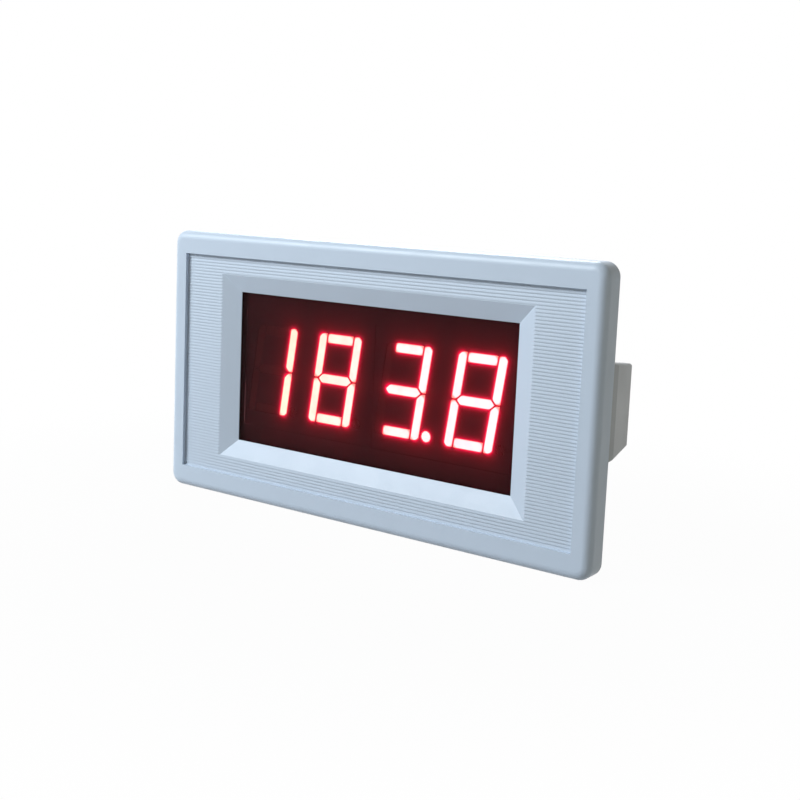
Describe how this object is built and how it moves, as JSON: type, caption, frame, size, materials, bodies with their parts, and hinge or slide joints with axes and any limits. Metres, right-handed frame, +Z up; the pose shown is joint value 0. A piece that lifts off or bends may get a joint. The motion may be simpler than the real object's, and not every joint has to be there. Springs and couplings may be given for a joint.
{
  "type": "digital panel meter",
  "caption": "Snap-in digital panel meter: ribbed bezel with a mitred window, red filter, seven-segment digits, circuit board, trimmer and screw terminals.",
  "frame": {"origin": "centre of the panel-seating plane, the back face of the bezel's flange", "axes": "+X to the right seen from the front, +Y back through the panel, +Z up; the digits face -Y"},
  "size_m": [0.079, 0.025, 0.043],
  "materials": {
    "bezel_plastic": "pale bluish white moulded ABS, satin",
    "red_filter": "clear smoked red acrylic",
    "display_shell": "matt dark grey moulded face",
    "segment_lit": "lit red light window, glows",
    "segment_dark": "unlit milky light window",
    "tinned_lead": "tinned wire and sheet leads",
    "board_laminate": "green lacquered glass laminate",
    "zinc_screw": "bright zinc plated steel",
    "chip_resin": "matt black moulded resin",
    "resistor_lacquer": "beige lacquer with plain colour bands",
    "film_case": "yellow box case",
    "can_sleeve": "dark blue shrink sleeve",
    "trimmer_plastic": "blue moulded housing",
    "adjuster_brass": "turned brass",
    "terminal_plastic": "green moulded polyamide",
    "contact_brass": "tinned brass strip",
    "clamp_steel": "folded plated steel cage"
  },
  "bodies": {
    "case": {"front_bezel": "bezel_plastic", "filter_window": "red_filter", "display_left": "display_shell", "display_right": "display_shell", "segments_lit_1": "segment_lit", "segments_lit_2": "segment_lit", "segments_lit_3": "segment_lit", "segments_lit_4": "segment_lit", "segments_dark_left": "segment_dark", "segments_dark_right": "segment_dark", "display_left_pins": "tinned_lead", "display_right_pins": "tinned_lead", "main_board": "board_laminate", "board_screws": "zinc_screw", "converter_chip": "chip_resin", "converter_chip_leads": "tinned_lead", "charge_pump_chip": "chip_resin", "charge_pump_chip_leads": "tinned_lead", "resistors": "resistor_lacquer", "resistor_leads": "tinned_lead", "film_capacitors": "film_case", "film_capacitor_leads": "tinned_lead", "can_capacitor": "can_sleeve", "can_capacitor_leads": "tinned_lead", "trimmer_body": "trimmer_plastic", "trimmer_pins": "tinned_lead", "terminal_housing": "terminal_plastic", "terminal_contacts": "contact_brass"},
    "trimmer_adjuster": {"trimmer_adjuster": "adjuster_brass"},
    "terminal_screw_1": {"terminal_screw_1": "zinc_screw"},
    "terminal_clamp_1": {"terminal_clamp_1": "clamp_steel"},
    "terminal_screw_2": {"terminal_screw_2": "zinc_screw"},
    "terminal_clamp_2": {"terminal_clamp_2": "clamp_steel"},
    "terminal_screw_3": {"terminal_screw_3": "zinc_screw"},
    "terminal_clamp_3": {"terminal_clamp_3": "clamp_steel"},
    "terminal_screw_4": {"terminal_screw_4": "zinc_screw"},
    "terminal_clamp_4": {"terminal_clamp_4": "clamp_steel"}
  },
  "joints": [
    {"name": "trimmer_turn", "type": "hinge", "parent": "case", "child": "trimmer_adjuster", "pos_m": [0.0152, 0.0153, -0.0114], "axis": [0, -1, 0], "range_deg": [-130, 130]},
    {"name": "screw_1_turn", "type": "hinge", "parent": "case", "child": "terminal_screw_1", "pos_m": [-0.00762, 0.0198, -0.0146], "axis": [0, -1, 0], "range_deg": [0, 1656]},
    {"name": "clamp_1_rise", "type": "slide", "parent": "case", "child": "terminal_clamp_1", "axis": [0, 1, 0], "range_m": [0, 0.0023]},
    {"name": "screw_2_turn", "type": "hinge", "parent": "case", "child": "terminal_screw_2", "pos_m": [-0.00254, 0.0198, -0.0146], "axis": [0, -1, 0], "range_deg": [0, 1656]},
    {"name": "clamp_2_rise", "type": "slide", "parent": "case", "child": "terminal_clamp_2", "axis": [0, 1, 0], "range_m": [0, 0.0023]},
    {"name": "screw_3_turn", "type": "hinge", "parent": "case", "child": "terminal_screw_3", "pos_m": [0.00254, 0.0198, -0.0146], "axis": [0, -1, 0], "range_deg": [0, 1656]},
    {"name": "clamp_3_rise", "type": "slide", "parent": "case", "child": "terminal_clamp_3", "axis": [0, 1, 0], "range_m": [0, 0.0023]},
    {"name": "screw_4_turn", "type": "hinge", "parent": "case", "child": "terminal_screw_4", "pos_m": [0.00762, 0.0198, -0.0146], "axis": [0, -1, 0], "range_deg": [0, 1656]},
    {"name": "clamp_4_rise", "type": "slide", "parent": "case", "child": "terminal_clamp_4", "axis": [0, 1, 0], "range_m": [0, 0.0023]}
  ],
  "couplings": [
    {"joint": "screw_1_turn", "follows": "clamp_1_rise", "rad_per_m": 12566},
    {"joint": "screw_2_turn", "follows": "clamp_2_rise", "rad_per_m": 12566},
    {"joint": "screw_3_turn", "follows": "clamp_3_rise", "rad_per_m": 12566},
    {"joint": "screw_4_turn", "follows": "clamp_4_rise", "rad_per_m": 12566}
  ]
}
